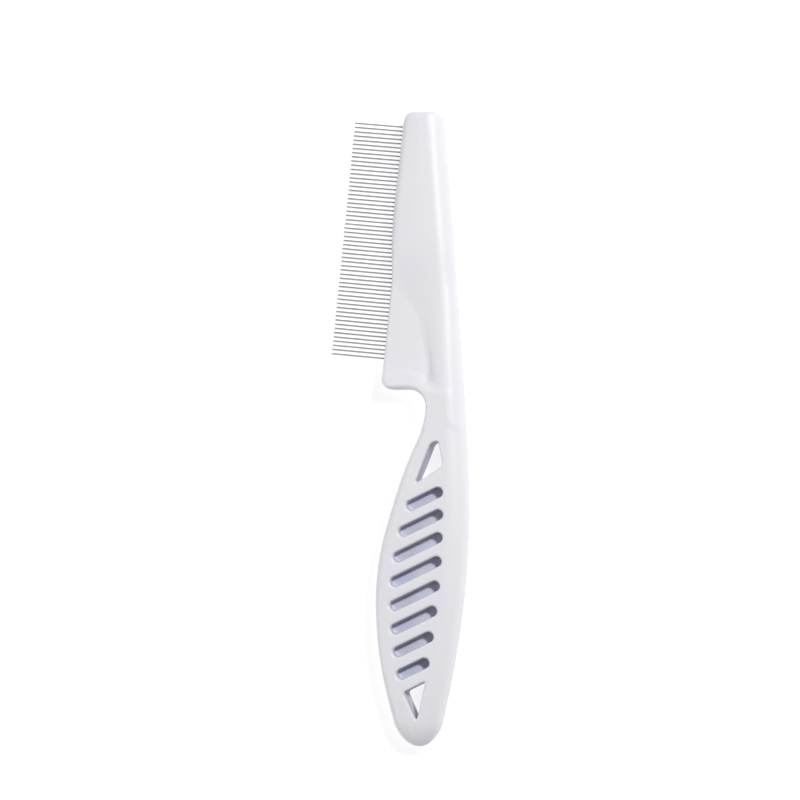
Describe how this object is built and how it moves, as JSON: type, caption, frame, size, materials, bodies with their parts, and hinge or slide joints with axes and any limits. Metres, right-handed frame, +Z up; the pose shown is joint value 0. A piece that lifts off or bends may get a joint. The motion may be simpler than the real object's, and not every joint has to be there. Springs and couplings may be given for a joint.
{
  "type": "flea comb",
  "caption": "Hand comb for pets: a moulded handle with a slotted grip, a finger notch and a thin head, and a row of fine round steel pins along the head's edge.",
  "frame": {"origin": "under the centre of the comb's box, on the surface that the grip's back rests on", "axes": "+X from the pin tips to the spine, +Y from the grip's end to the top of the head, +Z up from the back to the front"},
  "size_m": [0.04, 0.18, 0.01],
  "materials": {
    "handle_plastic": "satin white moulding",
    "pin_steel": "drawn and polished wire"
  },
  "bodies": {
    "root": {"handle": "handle_plastic", "pin_01": "pin_steel", "pin_02": "pin_steel", "pin_03": "pin_steel", "pin_04": "pin_steel", "pin_05": "pin_steel", "pin_06": "pin_steel", "pin_07": "pin_steel", "pin_08": "pin_steel", "pin_09": "pin_steel", "pin_10": "pin_steel", "pin_11": "pin_steel", "pin_12": "pin_steel", "pin_13": "pin_steel", "pin_14": "pin_steel", "pin_15": "pin_steel", "pin_16": "pin_steel", "pin_17": "pin_steel", "pin_18": "pin_steel", "pin_19": "pin_steel", "pin_20": "pin_steel", "pin_21": "pin_steel", "pin_22": "pin_steel", "pin_23": "pin_steel", "pin_24": "pin_steel", "pin_25": "pin_steel", "pin_26": "pin_steel", "pin_27": "pin_steel", "pin_28": "pin_steel", "pin_29": "pin_steel", "pin_30": "pin_steel", "pin_31": "pin_steel", "pin_32": "pin_steel", "pin_33": "pin_steel", "pin_34": "pin_steel", "pin_35": "pin_steel", "pin_36": "pin_steel", "pin_37": "pin_steel", "pin_38": "pin_steel", "pin_39": "pin_steel", "pin_40": "pin_steel", "pin_41": "pin_steel", "pin_42": "pin_steel", "pin_43": "pin_steel", "pin_44": "pin_steel", "pin_45": "pin_steel", "pin_46": "pin_steel", "pin_47": "pin_steel", "pin_48": "pin_steel", "pin_49": "pin_steel", "pin_50": "pin_steel", "pin_51": "pin_steel", "pin_52": "pin_steel", "pin_53": "pin_steel", "pin_54": "pin_steel", "pin_55": "pin_steel", "pin_56": "pin_steel"}
  },
  "joints": []
}
